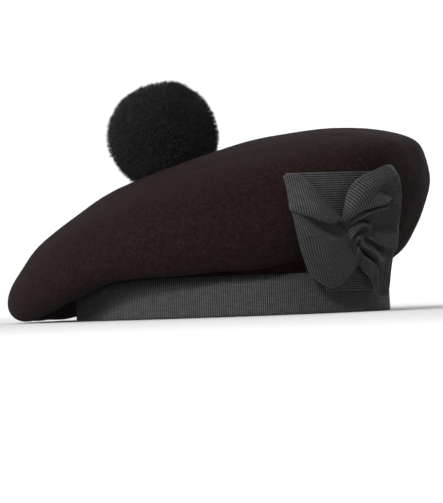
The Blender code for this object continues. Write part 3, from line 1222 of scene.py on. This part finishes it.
LEFT_RAILS = (
    Rail("top_edge", ((-0.32, 0.44, 0.3), (-0.44, 0.58, 0.4), (-0.58, 0.82, 0.45),
                      (-0.73, 0.985, 0.4), (-0.88, 1.02, 0.3), (-0.98, 0.97, 0.0))),
    Rail("flap", ((-0.33, 0.37, 0.6), (-0.47, 0.48, 0.8), (-0.62, 0.61, 0.9),
                  (-0.77, 0.71, 0.85), (-0.92, 0.77, 0.6), (-0.99, 0.76, 0.05))),
    Rail("flap_lip", ((-0.31, 0.28, 0.9), (-0.46, 0.25, 1.15), (-0.62, 0.28, 1.15),
                      (-0.78, 0.35, 0.9), (-0.94, 0.42, 0.6), (-1.02, 0.46, 0.1))),
    Rail("under_lip", ((-0.29, 0.30, 0.15), (-0.45, 0.30, 0.1), (-0.60, 0.33, 0.15),
                       (-0.77, 0.385, 0.3), (-0.93, 0.44, 0.3), (-1.00, 0.45, 0.0))),
    Rail("dip", ((-0.25, 0.17, 0.0), (-0.40, 0.17, 0.0), (-0.57, 0.22, 0.15),
                 (-0.75, 0.28, 0.4), (-0.92, 0.34, 0.4), (-0.99, 0.36, 0.0))),
    Rail("upper_swell", ((-0.20, 0.02, 0.3), (-0.37, 0.01, 0.65), (-0.55, 0.02, 0.95),
                         (-0.73, 0.04, 0.95), (-0.92, 0.08, 0.6), (-0.99, 0.10, 0.0))),
    Rail("swell", ((-0.12, -0.15, 0.5), (-0.30, -0.22, 0.9), (-0.50, -0.25, 1.1),
                   (-0.70, -0.22, 1.0), (-0.90, -0.15, 0.6), (-0.98, -0.12, 0.0))),
    Rail("lower_swell", ((-0.04, -0.30, 0.5), (-0.20, -0.42, 0.85), (-0.41, -0.48, 1.0),
                         (-0.63, -0.45, 0.9), (-0.84, -0.34, 0.55), (-0.94, -0.28, 0.0))),
    Rail("bottom_edge", ((0.04, -0.43, 0.25), (-0.10, -0.55, 0.35), (-0.30, -0.665, 0.4),
                         (-0.53, -0.70, 0.4), (-0.76, -0.58, 0.3), (-0.89, -0.44, 0.0))),
)

RIGHT_RAILS = (
    Rail("top_edge", ((-0.14, 0.58, 0.4), (-0.03, 0.77, 0.5), (0.20, 0.94, 0.6),
                      (0.50, 1.04, 0.65), (0.81, 1.12, 0.6), (1.06, 1.05, 0.0))),
    Rail("lobe", ((-0.07, 0.48, 0.8), (0.08, 0.64, 1.0), (0.31, 0.78, 1.1),
                  (0.59, 0.89, 1.0), (0.90, 0.94, 0.8), (1.10, 0.86, 0.1))),
    Rail("top_crease", ((-0.04, 0.43, 0.85), (0.13, 0.55, 1.0), (0.36, 0.67, 0.8),
                        (0.60, 0.745, 0.3), (0.86, 0.69, 0.1), (1.11, 0.68, 0.2))),
    Rail("lobe_lip", ((0.00, 0.38, 0.85), (0.15, 0.44, 1.0), (0.37, 0.485, 1.15),
                      (0.59, 0.54, 1.1), (0.81, 0.61, 0.35), (1.11, 0.62, 0.2))),
    Rail("under_lobe", ((0.01, 0.405, 0.35), (0.16, 0.475, 0.35), (0.38, 0.52, 0.4),
                        (0.60, 0.56, 0.5), (0.82, 0.585, 0.2), (1.11, 0.58, 0.2))),
    Rail("lip", ((0.02, 0.28, 0.75), (0.17, 0.35, 0.95), (0.34, 0.41, 1.2),
                 (0.55, 0.45, 1.25), (0.80, 0.545, 0.4), (1.12, 0.54, 0.2))),
    Rail("under_lip", ((0.03, 0.30, 0.15), (0.20, 0.41, -0.1), (0.42, 0.50, -0.25),
                       (0.65, 0.54, -0.25), (0.87, 0.52, -0.1), (1.13, 0.48, 0.2))),
    Rail("hollow", ((0.06, 0.25, 0.35), (0.28, 0.31, -0.05), (0.50, 0.37, -0.25),
                    (0.72, 0.40, -0.25), (0.94, 0.40, 0.0), (1.15, 0.38, 0.2))),
    Rail("flap", ((0.06, 0.205, 0.85), (0.21, 0.185, 1.0), (0.43, 0.20, 0.2),
                  (0.68, 0.20, 0.15), (0.96, 0.20, 0.45), (1.18, 0.20, 0.1))),
    Rail("under_flap", ((0.03, 0.07, 0.1), (0.19, 0.10, 0.35), (0.39, 0.08, 0.5),
                        (0.65, 0.05, 0.5), (0.95, 0.03, 0.7), (1.18, 0.03, 0.0))),
    Rail("side_lip", ((0.08, 0.07, 0.5), (0.25, 0.02, 0.75), (0.41, -0.06, 0.75),
                      (0.64, -0.125, 0.7), (0.92, -0.18, 0.7), (1.16, -0.13, 0.0))),
    Rail("under_side", ((0.10, 0.05, 0.6), (0.24, 0.01, 0.45), (0.40, -0.05, 0.2),
                        (0.62, -0.12, 0.1), (0.90, -0.21, 0.3), (1.14, -0.20, 0.0))),
    Rail("ridge", ((0.02, 0.03, 0.95), (0.06, -0.06, 1.2), (0.17, -0.15, 1.35),
                   (0.34, -0.25, 1.3), (0.64, -0.37, 0.45), (1.08, -0.42, 0.1))),
    Rail("under_ridge", ((0.06, 0.01, 0.1), (0.11, -0.09, 0.0), (0.21, -0.185, 0.0),
                         (0.36, -0.29, 0.05), (0.66, -0.44, 0.1), (1.06, -0.53, 0.15))),
    Rail("patch", ((0.07, -0.16, 0.5), (0.15, -0.25, 0.75), (0.26, -0.335, 0.95),
                   (0.42, -0.43, 0.95), (0.70, -0.62, 0.1), (1.05, -0.72, 0.2))),
    Rail("bottom_edge", ((0.17, -0.405, 0.15), (0.24, -0.47, 0.3), (0.34, -0.58, 0.45),
                         (0.50, -0.74, 0.4), (0.77, -0.85, 0.1), (1.04, -0.85, 0.1))),
)


@dataclass(frozen=True)
class Loop:
    """One loop of the bow: rails that run out from the gather, and the smooth cloth between them.

    `scale` turns the spots' shares into metres. Rails that meet are taken to be `least_gap` metres apart.
    """

    rails: tuple[Rail, ...]
    scale: Spot
    least_gap: float = 0.0002
    fine_steps: int = 160

    def shares(self) -> Array:
        """Each rail's place across the ribbon, by the cloth between the rails.

        Returns:
            From 1 at the top edge to -1 at the bottom.
        """
        spots = np.array([rail.spots for rail in self.rails]) * self.scale
        gaps = np.linalg.norm(np.diff(spots, axis=0), axis=-1).mean(axis=1)
        return 1 - 2 * running_sum(gaps) / gaps.sum()

    def cloth(self, lanes: Array, way: Array) -> Array:
        """Where the cloth lies.

        A cubic B-spline goes along each rail, from the cubic through the gather's four spots. Across the
        rails, a Hermite cubic joins each two, with slopes from the neighbours weighed by their distances.

        Args:
            lanes: Places across the ribbon, from -1 to 1.
            way: Places from 0 at the gather to 1 at the loop's end.

        Returns:
            Along, up and out, as shares, for each lane and place.
        """
        shares = self.shares()
        powers = np.linalg.solve(np.vander(np.linspace(1, -1, len(GATHER.spots))), GATHER.spots)
        gather = np.vander(shares, len(powers)) @ powers
        spots = np.concatenate([gather[None], np.array([rail.spots for rail in self.rails]).swapaxes(0, 1)])
        lines = smooth_through(spots.reshape(len(spots), -1), way).reshape(len(way), -1, 3).swapaxes(0, 1)
        gap = np.linalg.norm(np.diff(lines * self.scale, axis=0), axis=-1, keepdims=True)
        gap = np.sqrt(np.maximum(gap, self.least_gap))
        slope = np.diff(lines, axis=0) / gap
        inner = (gap[1:] * slope[:-1] + gap[:-1] * slope[1:]) / (gap[:-1] + gap[1:])
        slope = np.concatenate([slope[:1], inner, slope[-1:]])
        first = np.clip(np.searchsorted(-shares, -lanes, side="right") - 1, 0, len(shares) - 2)
        t = ((shares[first] - lanes) / (shares[first] - shares[first + 1]))[:, None, None]
        return (
            (1 + 2 * t) * (1 - t) ** 2 * lines[first] + t * (1 - t) ** 2 * gap[first] * slope[first]
            + t * t * (3 - 2 * t) * lines[first + 1] - t * t * (1 - t) * gap[first] * slope[first + 1]
        )

    def even_ways(self, lanes: Array, count: int) -> tuple[Array, Array]:
        """Places that are evenly far apart on the cloth.

        Args:
            lanes: Places across the ribbon, from -1 to 1.
            count: How many places there are.

        Returns:
            Places from 0 to 1, and their distances from the gather.
        """
        fine = np.linspace(0, 1, self.fine_steps)
        steps = np.linalg.norm(np.diff(self.cloth(lanes, fine) * self.scale, axis=1), axis=-1)
        length = running_sum(np.median(steps, axis=0))
        distance = np.linspace(0, length[-1], count)
        return np.interp(distance, length, fine), distance


@dataclass(frozen=True)
class RibbedCloth:
    """A ribbon's cloth: its face sinks between its ribs, and stays level along both selvedges."""

    rib_pitch: float
    rib_depth: float
    thick: float = 0.0007
    selvedge: float = 0.0007
    selvedge_lanes: tuple[float, ...] = (0.0, 0.006, 0.014)
    first_lane: float = 0.026

    def lanes(self, count: int) -> Array:
        """Places across the ribbon: even steps inside and closer ones at both selvedges.

        Args:
            count: How many places there are.

        Returns:
            Shares from -1 to 1.
        """
        edge = 1 - np.array(self.selvedge_lanes)
        inside = np.linspace(-1 + self.first_lane, 1 - self.first_lane, count - 2 * len(edge))
        return np.concatenate([-edge, inside, edge[::-1]])

    def shell(self, base: Array, along: Array, across: Array, from_edge: Array) -> Shell:
        """Sink a grid between its ribs, and give it its back and edges.

        Args:
            base: Grid of the ribbon's face.
            along: Metres along the ribbon, for each point or in a shape that fits the grid.
            across: Metres across the ribbon.
            from_edge: Metres from the nearer selvedge.

        Returns:
            The closed wall, with each vertex's place on the cloth, and its tint: 1 where the ribs show and
            take the painted shade between them, easing to 0 at the selvedges.
        """
        shape = base.shape[:2]
        count = shape[0] * shape[1]
        ribbed = smooth_step(0, self.selvedge, from_edge)
        sunk = (1 - rib_rise(along, self.rib_pitch)) * self.rib_depth * ribbed
        normals = grid_normals(base)
        walls = [base - normals * sunk[..., None], base - normals * self.thick]
        front = grid_faces(*shape)
        cloth = np.broadcast_to(stacked(along / self.rib_pitch, across, 0.0), base.shape)
        return Shell(
            np.concatenate(walls).reshape(-1, 3),
            [np.concatenate([front, front[:, ::-1] + count, rim_faces(*shape, count)])],
            cloth=np.concatenate([cloth, cloth]).reshape(-1, 3),
            tint=np.tile(np.broadcast_to(ribbed, shape).ravel(), 2),
        )


@dataclass(frozen=True)
class Bow:
    """The gathered ribbon: one wide ribbon pinched in the middle, with puffed, folded loops at both sides."""

    form: BonnetForm
    wall: CockadeWall
    material: Material
    ribbon: RibbedCloth = RibbedCloth(rib_pitch=0.0015, rib_depth=0.0004)
    clearance: float = 0.001
    over_backing: float = 0.0007
    puff: float = 0.0074
    least_puff: float = 0.004
    gather_height: float = 0.0012
    gather_pleats: float = 2.5
    gather_span: float = 0.2
    wrinkle: Wander = Wander(0.011, 41)
    wrinkle_height: float = 0.03
    wrinkle_stretch: float = 0.2
    ribbon_length: float = 0.088
    ribbon_width: float = 0.076
    left_steps: int = 140
    right_steps: int = 160
    cross_steps: int = 149

    def lay(self, lanes: Array) -> tuple[Array, Array, Array]:
        """Both loops as one sheet.

        Args:
            lanes: Places across the ribbon, from -1 to 1.

        Returns:
            Along, up and out of each point, each column's distance from the gather, and its way, from 0 there
            to 1 at a loop's end.
        """
        scale = (self.wall.width / 2, self.wall.height / 2, self.puff)
        left, right = Loop(LEFT_RAILS, scale), Loop(RIGHT_RAILS, scale)
        left_way, left_run = left.even_ways(lanes, self.left_steps)
        right_way, right_run = right.even_ways(lanes, self.right_steps)
        sheet = np.concatenate([left.cloth(lanes, left_way)[:, :0:-1], right.cloth(lanes, right_way)], axis=1)
        run = np.concatenate([-left_run[:0:-1], right_run])
        return sheet, run, np.concatenate([left_way[:0:-1], right_way])

    def surface(self, lanes: Array) -> tuple[Array, Array]:
        """The ribbon's face before its ribs.

        A point stands out by its puff, which eases to a little over 0 where the rails dip lower, by the
        wrinkles, and near the gather by the pleats: cos(lane x pleats x pi) under a bell curve of the way.

        Args:
            lanes: Places across the ribbon, from -1 to 1.

        Returns:
            Points, and each column's distance from the gather.
        """
        sheet, run, way = self.lay(lanes)
        along, up, out = np.moveaxis(sheet, -1, 0)
        points, level = (part.reshape(sheet.shape) for part in self.wall.at(along.ravel(), up.ravel()))
        near = np.exp(-((way / self.gather_span) ** 2))
        pleats = near * (np.cos(lanes * self.gather_pleats * math.pi) + 0.5)[:, None]
        flat = stacked(run, lanes[:, None] * self.ribbon_width * self.wrinkle_stretch, 0.0)
        eased = (out + np.sqrt(out**2 + self.least_puff)) / 2 + self.wrinkle.at(flat) * self.wrinkle_height
        lift = self.clearance + 2 * self.form.ribbon_wall + self.over_backing
        lift = lift + eased * self.puff + pleats * self.gather_height
        return points + level * lift[..., None], run

    def build(self) -> Piece:
        """Returns:
            The bow.
        """
        lanes = self.ribbon.lanes(self.cross_steps)
        base, run = self.surface(lanes)
        across = lanes[:, None] * self.ribbon_width / 2
        shell = self.ribbon.shell(base, run[None, :], across, self.ribbon_width / 2 - np.abs(across))
        piece = shell.piece("cockade_bow_ribbon", self.material, Slot.COCKADE, "cockade_bow")
        return piece


@dataclass(frozen=True)
class Backing:
    """The upright ribbon behind the bow, which shows above and below the gather, with level ribs.

    `foot` and `head` are its two ends: left edge and right edge, as shares of half the cockade's width, and
    how far up, as a share of half its height.
    """

    form: BonnetForm
    wall: CockadeWall
    material: Material
    foot: Spot = (-0.5, 0.96, -0.76)
    head: Spot = (-0.90, 1.06, 1.03)
    clearance: float = 0.001
    rib_pitch: float = 0.00131
    rib_depth: float = 0.00038
    rib_samples: int = 6
    cross_steps: int = 37
    flat_share: float = 0.78

    def build(self) -> Piece:
        """Returns:
            The backing.
        """
        tall = (self.head[2] - self.foot[2]) * self.wall.height / 2
        ribs = round(tall / self.rib_pitch)
        ribbon = RibbedCloth(tall / ribs, self.rib_depth)
        lanes = (ribbon.lanes(self.cross_steps) + 1) / 2
        rise, right = np.meshgrid(np.linspace(0, 1, ribs * self.rib_samples + 1), lanes, indexing="ij")
        left_edge, right_edge, up = (foot + (head - foot) * rise for foot, head in zip(self.foot, self.head))
        along = left_edge + (right_edge - left_edge) * right
        points, out = self.wall.at(along.ravel(), up.ravel())
        base = (points + out * (self.clearance + self.form.ribbon_wall)).reshape(*rise.shape, 3)
        half_width = self.wall.width / 2
        from_edge = np.minimum(right, 1 - right) * (right_edge - left_edge) * half_width
        shell = ribbon.shell(base, rise * tall, along * half_width, from_edge)
        piece = shell.piece("cockade_backing_ribbon", self.material, Slot.COCKADE, "cockade_backing")
        return piece


@dataclass(frozen=True)
class Toorie:
    """The yarn ball on top: a core in painted shade, thousands of cut yarn ends and the fluff that they shed.

    `fuller` gives how much further the ball reaches towards +X, +Y and +Z. Each bulge is a heading and the
    height that the ball rises by round it.
    """

    crown: Crown
    material: Material
    width: float = 0.0676
    lumps: Wander = Wander(0.02, 3)
    lumpiness: float = 0.0011
    fuller: Spot = (-0.0012, 0.0, -0.0002)
    bulges: tuple[tuple[float, float, float, float], ...] = (
        (-0.88, -0.1, 0.46, 0.0013),
        (0.45, -0.1, 0.88, 0.0014),
    )
    bulge_power: int = 8
    clearance: float = 0.0007
    near_share: float = 0.62
    seat_rows: int = 8
    felt_angle: float = math.radians(4)
    batch: int = 1500
    core_share: float = 0.865
    core_grid: tuple[int, int] = (40, 72)
    tufts: int = 3250
    tuft_fibres: int = 6
    tuft_depth: float = 0.0052
    tuft_jitter: float = 0.012
    leans: tuple[Wander, ...] = (Wander(0.009, 50), Wander(0.009, 51), Wander(0.009, 52))
    tuft_lean: float = 0.18
    tuft_reach: Span = (-0.03, 0.01)
    tuft_shade: Span = (0.25, 1.1)
    ends: Hairs = Hairs(stray=0.19, length=(0.004576, 0.005408), bend=0.07, radius=(0.0002, 0.00034))
    # Painted shade along each yarn end: dark at the root deep in the ball, the full tip colour at its point.
    end_painted_shade: tuple[float, ...] = (0.1, 0.1, 0.1, 0.6, 0.6, 0.6, 1.0)
    patches: Wander = Wander(0.008, 61)
    patch_depth: float = 0.28
    fluff: int = 12000
    fluff_jitter: float = 0.02
    fluff_depth: float = 0.0018
    fluff_shade: Span = (0.4, 1.1)
    wisps: Hairs = Hairs(stray=0.45, length=(0.0014, 0.0032), bend=0.3, radius=(0.00005, 0.0001))
    seed: int = 77

    @property
    def middle(self) -> Array:
        """Middle of the ball."""
        return self.crown.form.toorie_middle()

    def headings(self, count: int, jitter: float, draw: np.random.Generator) -> Array:
        """Headings spread evenly over a ball by the golden angle, then jittered.

        Args:
            count: How many there are.
            jitter: Spread of the jitter.
            draw: Source of the random values.

        Returns:
            Unit vectors.
        """
        step = np.arange(count) + 0.5
        z = 1 - 2 * step / count
        turn = step * math.pi * (3 - math.sqrt(5))
        flat = np.sqrt(1 - z * z)
        even = stacked(flat * np.cos(turn), flat * np.sin(turn), z)
        return unit(even + draw.normal(0, jitter, even.shape))

    def felt_round(self) -> Array:
        """The felt near the ball, and its seat.

        Returns:
            Points from the ball's middle.
        """
        felt, _ = self.crown.face(self.crown.coarse_steps)
        hub = felt[-1].mean(axis=0)
        seat = hub + (felt[-1] - hub) * (np.arange(self.seat_rows) / self.seat_rows)[:, None, None]
        felt = np.concatenate([felt[len(felt) // 2:], seat]).reshape(-1, 3) - self.middle
        return felt[np.linalg.norm(felt, axis=-1) < self.width * self.near_share]

    def reach(self, headings: Array) -> Array:
        """How far the ball reaches: its lumpy radius, cut short where the felt is nearer.

        Args:
            headings: Unit vectors from the ball's middle.

        Returns:
            Metres along each of them.
        """
        radius = self.width / 2 + self.lumps.at(headings * self.width / 2) * self.lumpiness
        radius = radius + headings @ np.array(self.fuller)
        for *way, rise in self.bulges:
            radius = radius + np.maximum(headings @ np.array(way), 0) ** self.bulge_power * rise
        felt = self.felt_round()
        distance = np.linalg.norm(felt, axis=-1)
        aim = (felt / distance[:, None]).astype(np.float32)
        room = []
        for part in np.array_split(headings.astype(np.float32), max(1, len(headings) // self.batch)):
            cosine = part @ aim.T
            hit = cosine.max(axis=1) > math.cos(self.felt_angle)
            room.append(np.where(hit, distance[cosine.argmax(axis=1)] - self.clearance, np.inf))
        return np.minimum(radius, np.concatenate(room))

    def build_core(self) -> Piece:
        """The ball that closes the gaps between the yarn ends, painted all over in the yarn's deep shade.

        Returns:
            The core.
        """
        rows, columns = self.core_grid
        fall = np.linspace(0, math.pi, rows + 2)[1:-1, None]
        turn = even_turn(columns)[None, :]
        ball = stacked(np.sin(fall) * np.cos(turn), np.sin(fall) * np.sin(turn), np.cos(fall))
        headings = np.concatenate([ball.reshape(-1, 3), [[0, 0, 1.0], [0, 0, -1.0]]])
        points = self.middle + headings * (self.reach(headings) * self.core_share)[:, None]
        # Tint 0: the core is painted all over in the deep shade.
        shell = Shell(points, capped_faces(rows, columns), tint=np.zeros(len(points)))
        return shell.piece("toorie_core", self.material, Slot.YARN, "toorie")

    def build_yarn(self) -> Piece:
        """The cut yarn ends: tufts of tapering fibres that fan out from a root inside the ball.

        Returns:
            The yarn ends.
        """
        draw = np.random.default_rng(self.seed)
        headings = self.headings(self.tufts, self.tuft_jitter, draw)
        on_ball = headings * self.width / 2
        lean = stacked(*(wander.at(on_ball) for wander in self.leans))
        reach = self.reach(headings) * (1 + draw.uniform(*self.tuft_reach, self.tufts))
        shade = draw.uniform(*self.tuft_shade, self.tufts) * (1 + self.patch_depth * self.patches.at(on_ball))
        roots = self.middle + headings * (reach - self.tuft_depth)[:, None]
        roots, ways, shade = (
            np.repeat(item, self.tuft_fibres, axis=0)
            for item in (roots, headings + lean * self.tuft_lean, shade)
        )
        points, faces = self.ends.grow(roots, ways, draw)
        # Each tuft's random tone times the painted shade along each end.
        tint = shade[:, None] * np.array(self.end_painted_shade)
        return Shell(points, faces, tint=tint).piece("toorie_yarn", self.material, Slot.YARN)

    def build_fluff(self) -> Piece:
        """Fine loose fibres that stand a little out of the ball.

        Returns:
            The fluff.
        """
        draw = np.random.default_rng(self.seed + 1)
        headings = self.headings(self.fluff, self.fluff_jitter, draw)
        roots = self.middle + headings * (self.reach(headings) - self.fluff_depth)[:, None]
        points, faces = self.wisps.grow(roots, headings, draw)
        tint = np.repeat(draw.uniform(*self.fluff_shade, self.fluff), HAIR_VERTICES)
        return Shell(points, faces, tint=tint).piece("toorie_fluff", self.material, Slot.YARN)


# Studio


@dataclass(frozen=True)
class Light:
    """A soft square light that faces the bonnet."""

    name: str
    place: Spot
    size: float
    power: float
    aim: Spot = (0.0, 0.0, 0.06)

    def build(self) -> None:
        """Place the light and turn it to its aim."""
        lamp = bpy.data.lights.new(self.name, "AREA")
        lamp.shape = "SQUARE"
        lamp.size = self.size
        lamp.energy = self.power
        thing = bpy.data.objects.new(self.name, lamp)
        thing.location = self.place
        thing.rotation_euler = (Vector(self.aim) - Vector(self.place)).to_track_quat("-Z", "Y").to_euler()
        bpy.context.scene.collection.objects.link(thing)


@dataclass(frozen=True)
class Studio:
    """A pale seamless floor and backdrop, and soft lights."""

    half_width: float = 3.0
    front: float = -4.0
    back: float = 1.6
    bend: float = 1.0
    bend_points: int = 16
    top: float = 3.0
    paper: Colour = (0.86, 0.86, 0.86)
    paper_gloss: Gloss = Gloss(0.9, 0.1)
    sky: Colour = (1.0, 1.0, 1.0)
    sky_strength: float = 0.3
    lights: tuple[Light, ...] = (
        Light("key_light", (-1.6, -1.6, 0.75), 0.6, 27.0),
        Light("front_light", (-0.7, -2.3, 1.3), 0.35, 43.0),
        Light("low_light", (-0.3, -2.4, 0.12), 0.3, 8.0),
        Light("back_light", (0.8, 1.5, 0.6), 1.0, 9.0),
        Light("paper_light", (0.0, 1.3, 2.2), 1.6, 52.0, aim=(0.0, 2.6, 1.2)),
    )

    def build_floor(self) -> None:
        """Build the floor that bends up into the backdrop: a line of points carried sideways."""
        turn = np.linspace(0, math.pi / 2, self.bend_points)
        y = np.concatenate([[self.front], self.back + self.bend * np.sin(turn), [self.back + self.bend]])
        z = np.concatenate([[0], self.bend * (1 - np.cos(turn)), [self.top]])
        points = stacked(np.array([[-self.half_width, self.half_width]]), y[:, None], z[:, None])
        mesh = bpy.data.meshes.new("studio_floor")
        mesh.from_pydata(points.reshape(-1, 3).tolist(), [], grid_faces(len(y), 2).tolist())
        mesh.shade_smooth()
        mesh.materials.append(MaterialBench("pale_paper", self.paper).finish(self.paper_gloss, self.paper))
        floor = bpy.data.objects.new("studio_floor", mesh)
        bpy.context.scene.collection.objects.link(floor)
        floor.visible_diffuse = False

    def build_light(self) -> None:
        """Fill the room with even light and place the lights."""
        world = bpy.data.worlds.new("studio")
        world.use_nodes = True
        bench = NodeBench(world.node_tree)
        bench.fill(world.node_tree.nodes["Background"], Color=self.sky, Strength=self.sky_strength)
        bpy.context.scene.world = world
        bpy.context.scene.view_settings.view_transform = "Standard"
        for light in self.lights:
            light.build()


@dataclass(frozen=True)
class PhotoCamera:
    """The camera of the picture: low, level with the bonnet, rolled by a small angle."""

    metres_per_pixel: float = 0.00061
    frame_width: int = 443
    frame_height: int = 503
    origin_pixel: Span = (233.5, 315.6)
    roll: float = math.radians(2.07)
    distance: float = 2.2
    height: float = 0.018
    sensor: float = 24.0

    def build(self) -> None:
        """Aim the camera so that the origin falls on its pixel, then roll it."""
        right = (self.frame_width / 2 - self.origin_pixel[0]) * self.metres_per_pixel
        rise = (self.origin_pixel[1] - self.frame_height / 2) * self.metres_per_pixel
        aim = Vector((
            right * math.cos(self.roll) + rise * math.sin(self.roll),
            0.0,
            -right * math.sin(self.roll) + rise * math.cos(self.roll),
        ))
        lens = bpy.data.cameras.new("photo_camera")
        lens.sensor_fit = "VERTICAL"
        lens.sensor_height = self.sensor
        lens.lens = self.sensor * self.distance / (self.frame_height * self.metres_per_pixel)
        camera = bpy.data.objects.new("photo_camera", lens)
        place = Vector((aim.x, -self.distance, self.height))
        look = (aim - place).to_track_quat("-Z", "Y").to_matrix().to_4x4()
        camera.matrix_world = Matrix.Translation(place) @ look @ Matrix.Rotation(-self.roll, 4, "Z")
        bpy.context.scene.collection.objects.link(camera)
        bpy.context.scene.camera = camera


def main() -> None:
    """Build the studio and every piece of the bonnet, and report each."""
    logging.basicConfig(level=logging.INFO, format="%(message)s")
    log = logging.getLogger("bonnet")
    PhotoCamera().build()
    studio = Studio()
    studio.build_floor()
    studio.build_light()
    effects = EffectGroups()
    felt = FeltFinish(effects)
    # A ribbon's second colour is the painted shade between its ribs.
    band = RibbonFinish(effects, "band_grosgrain", (0.079, 0.079, 0.080), (0.003, 0.003, 0.0035))
    bow = RibbonFinish(effects, "bow_grosgrain", (0.074, 0.074, 0.075), (0.0014, 0.0014, 0.0017))
    # The backing is the bow's ribbon painted lighter: painted light on the wedges above and below the gather,
    # with darker painted shade between its ribs.
    backing = RibbonFinish(effects, "backing_grosgrain_painted_lighter", (0.080, 0.080, 0.081), (0.0008, 0.0008, 0.0010))
    form = BonnetForm()
    wall = CockadeWall(form)
    crown = Crown(form, wall, felt.material())
    toorie = Toorie(crown, YarnFinish(effects).material())
    for build in (
        crown.build,
        Nap(crown, felt.nap_material()).build,
        Headband(form, band.material()).build,
        Backing(form, wall, backing.material()).build,
        Bow(form, wall, bow.material()).build,
        toorie.build_core,
        toorie.build_yarn,
        toorie.build_fluff,
    ):
        piece = build()
        log.info("%s: %d faces", piece.name, len(piece.data.polygons))


if __name__ == "__main__":
    main()
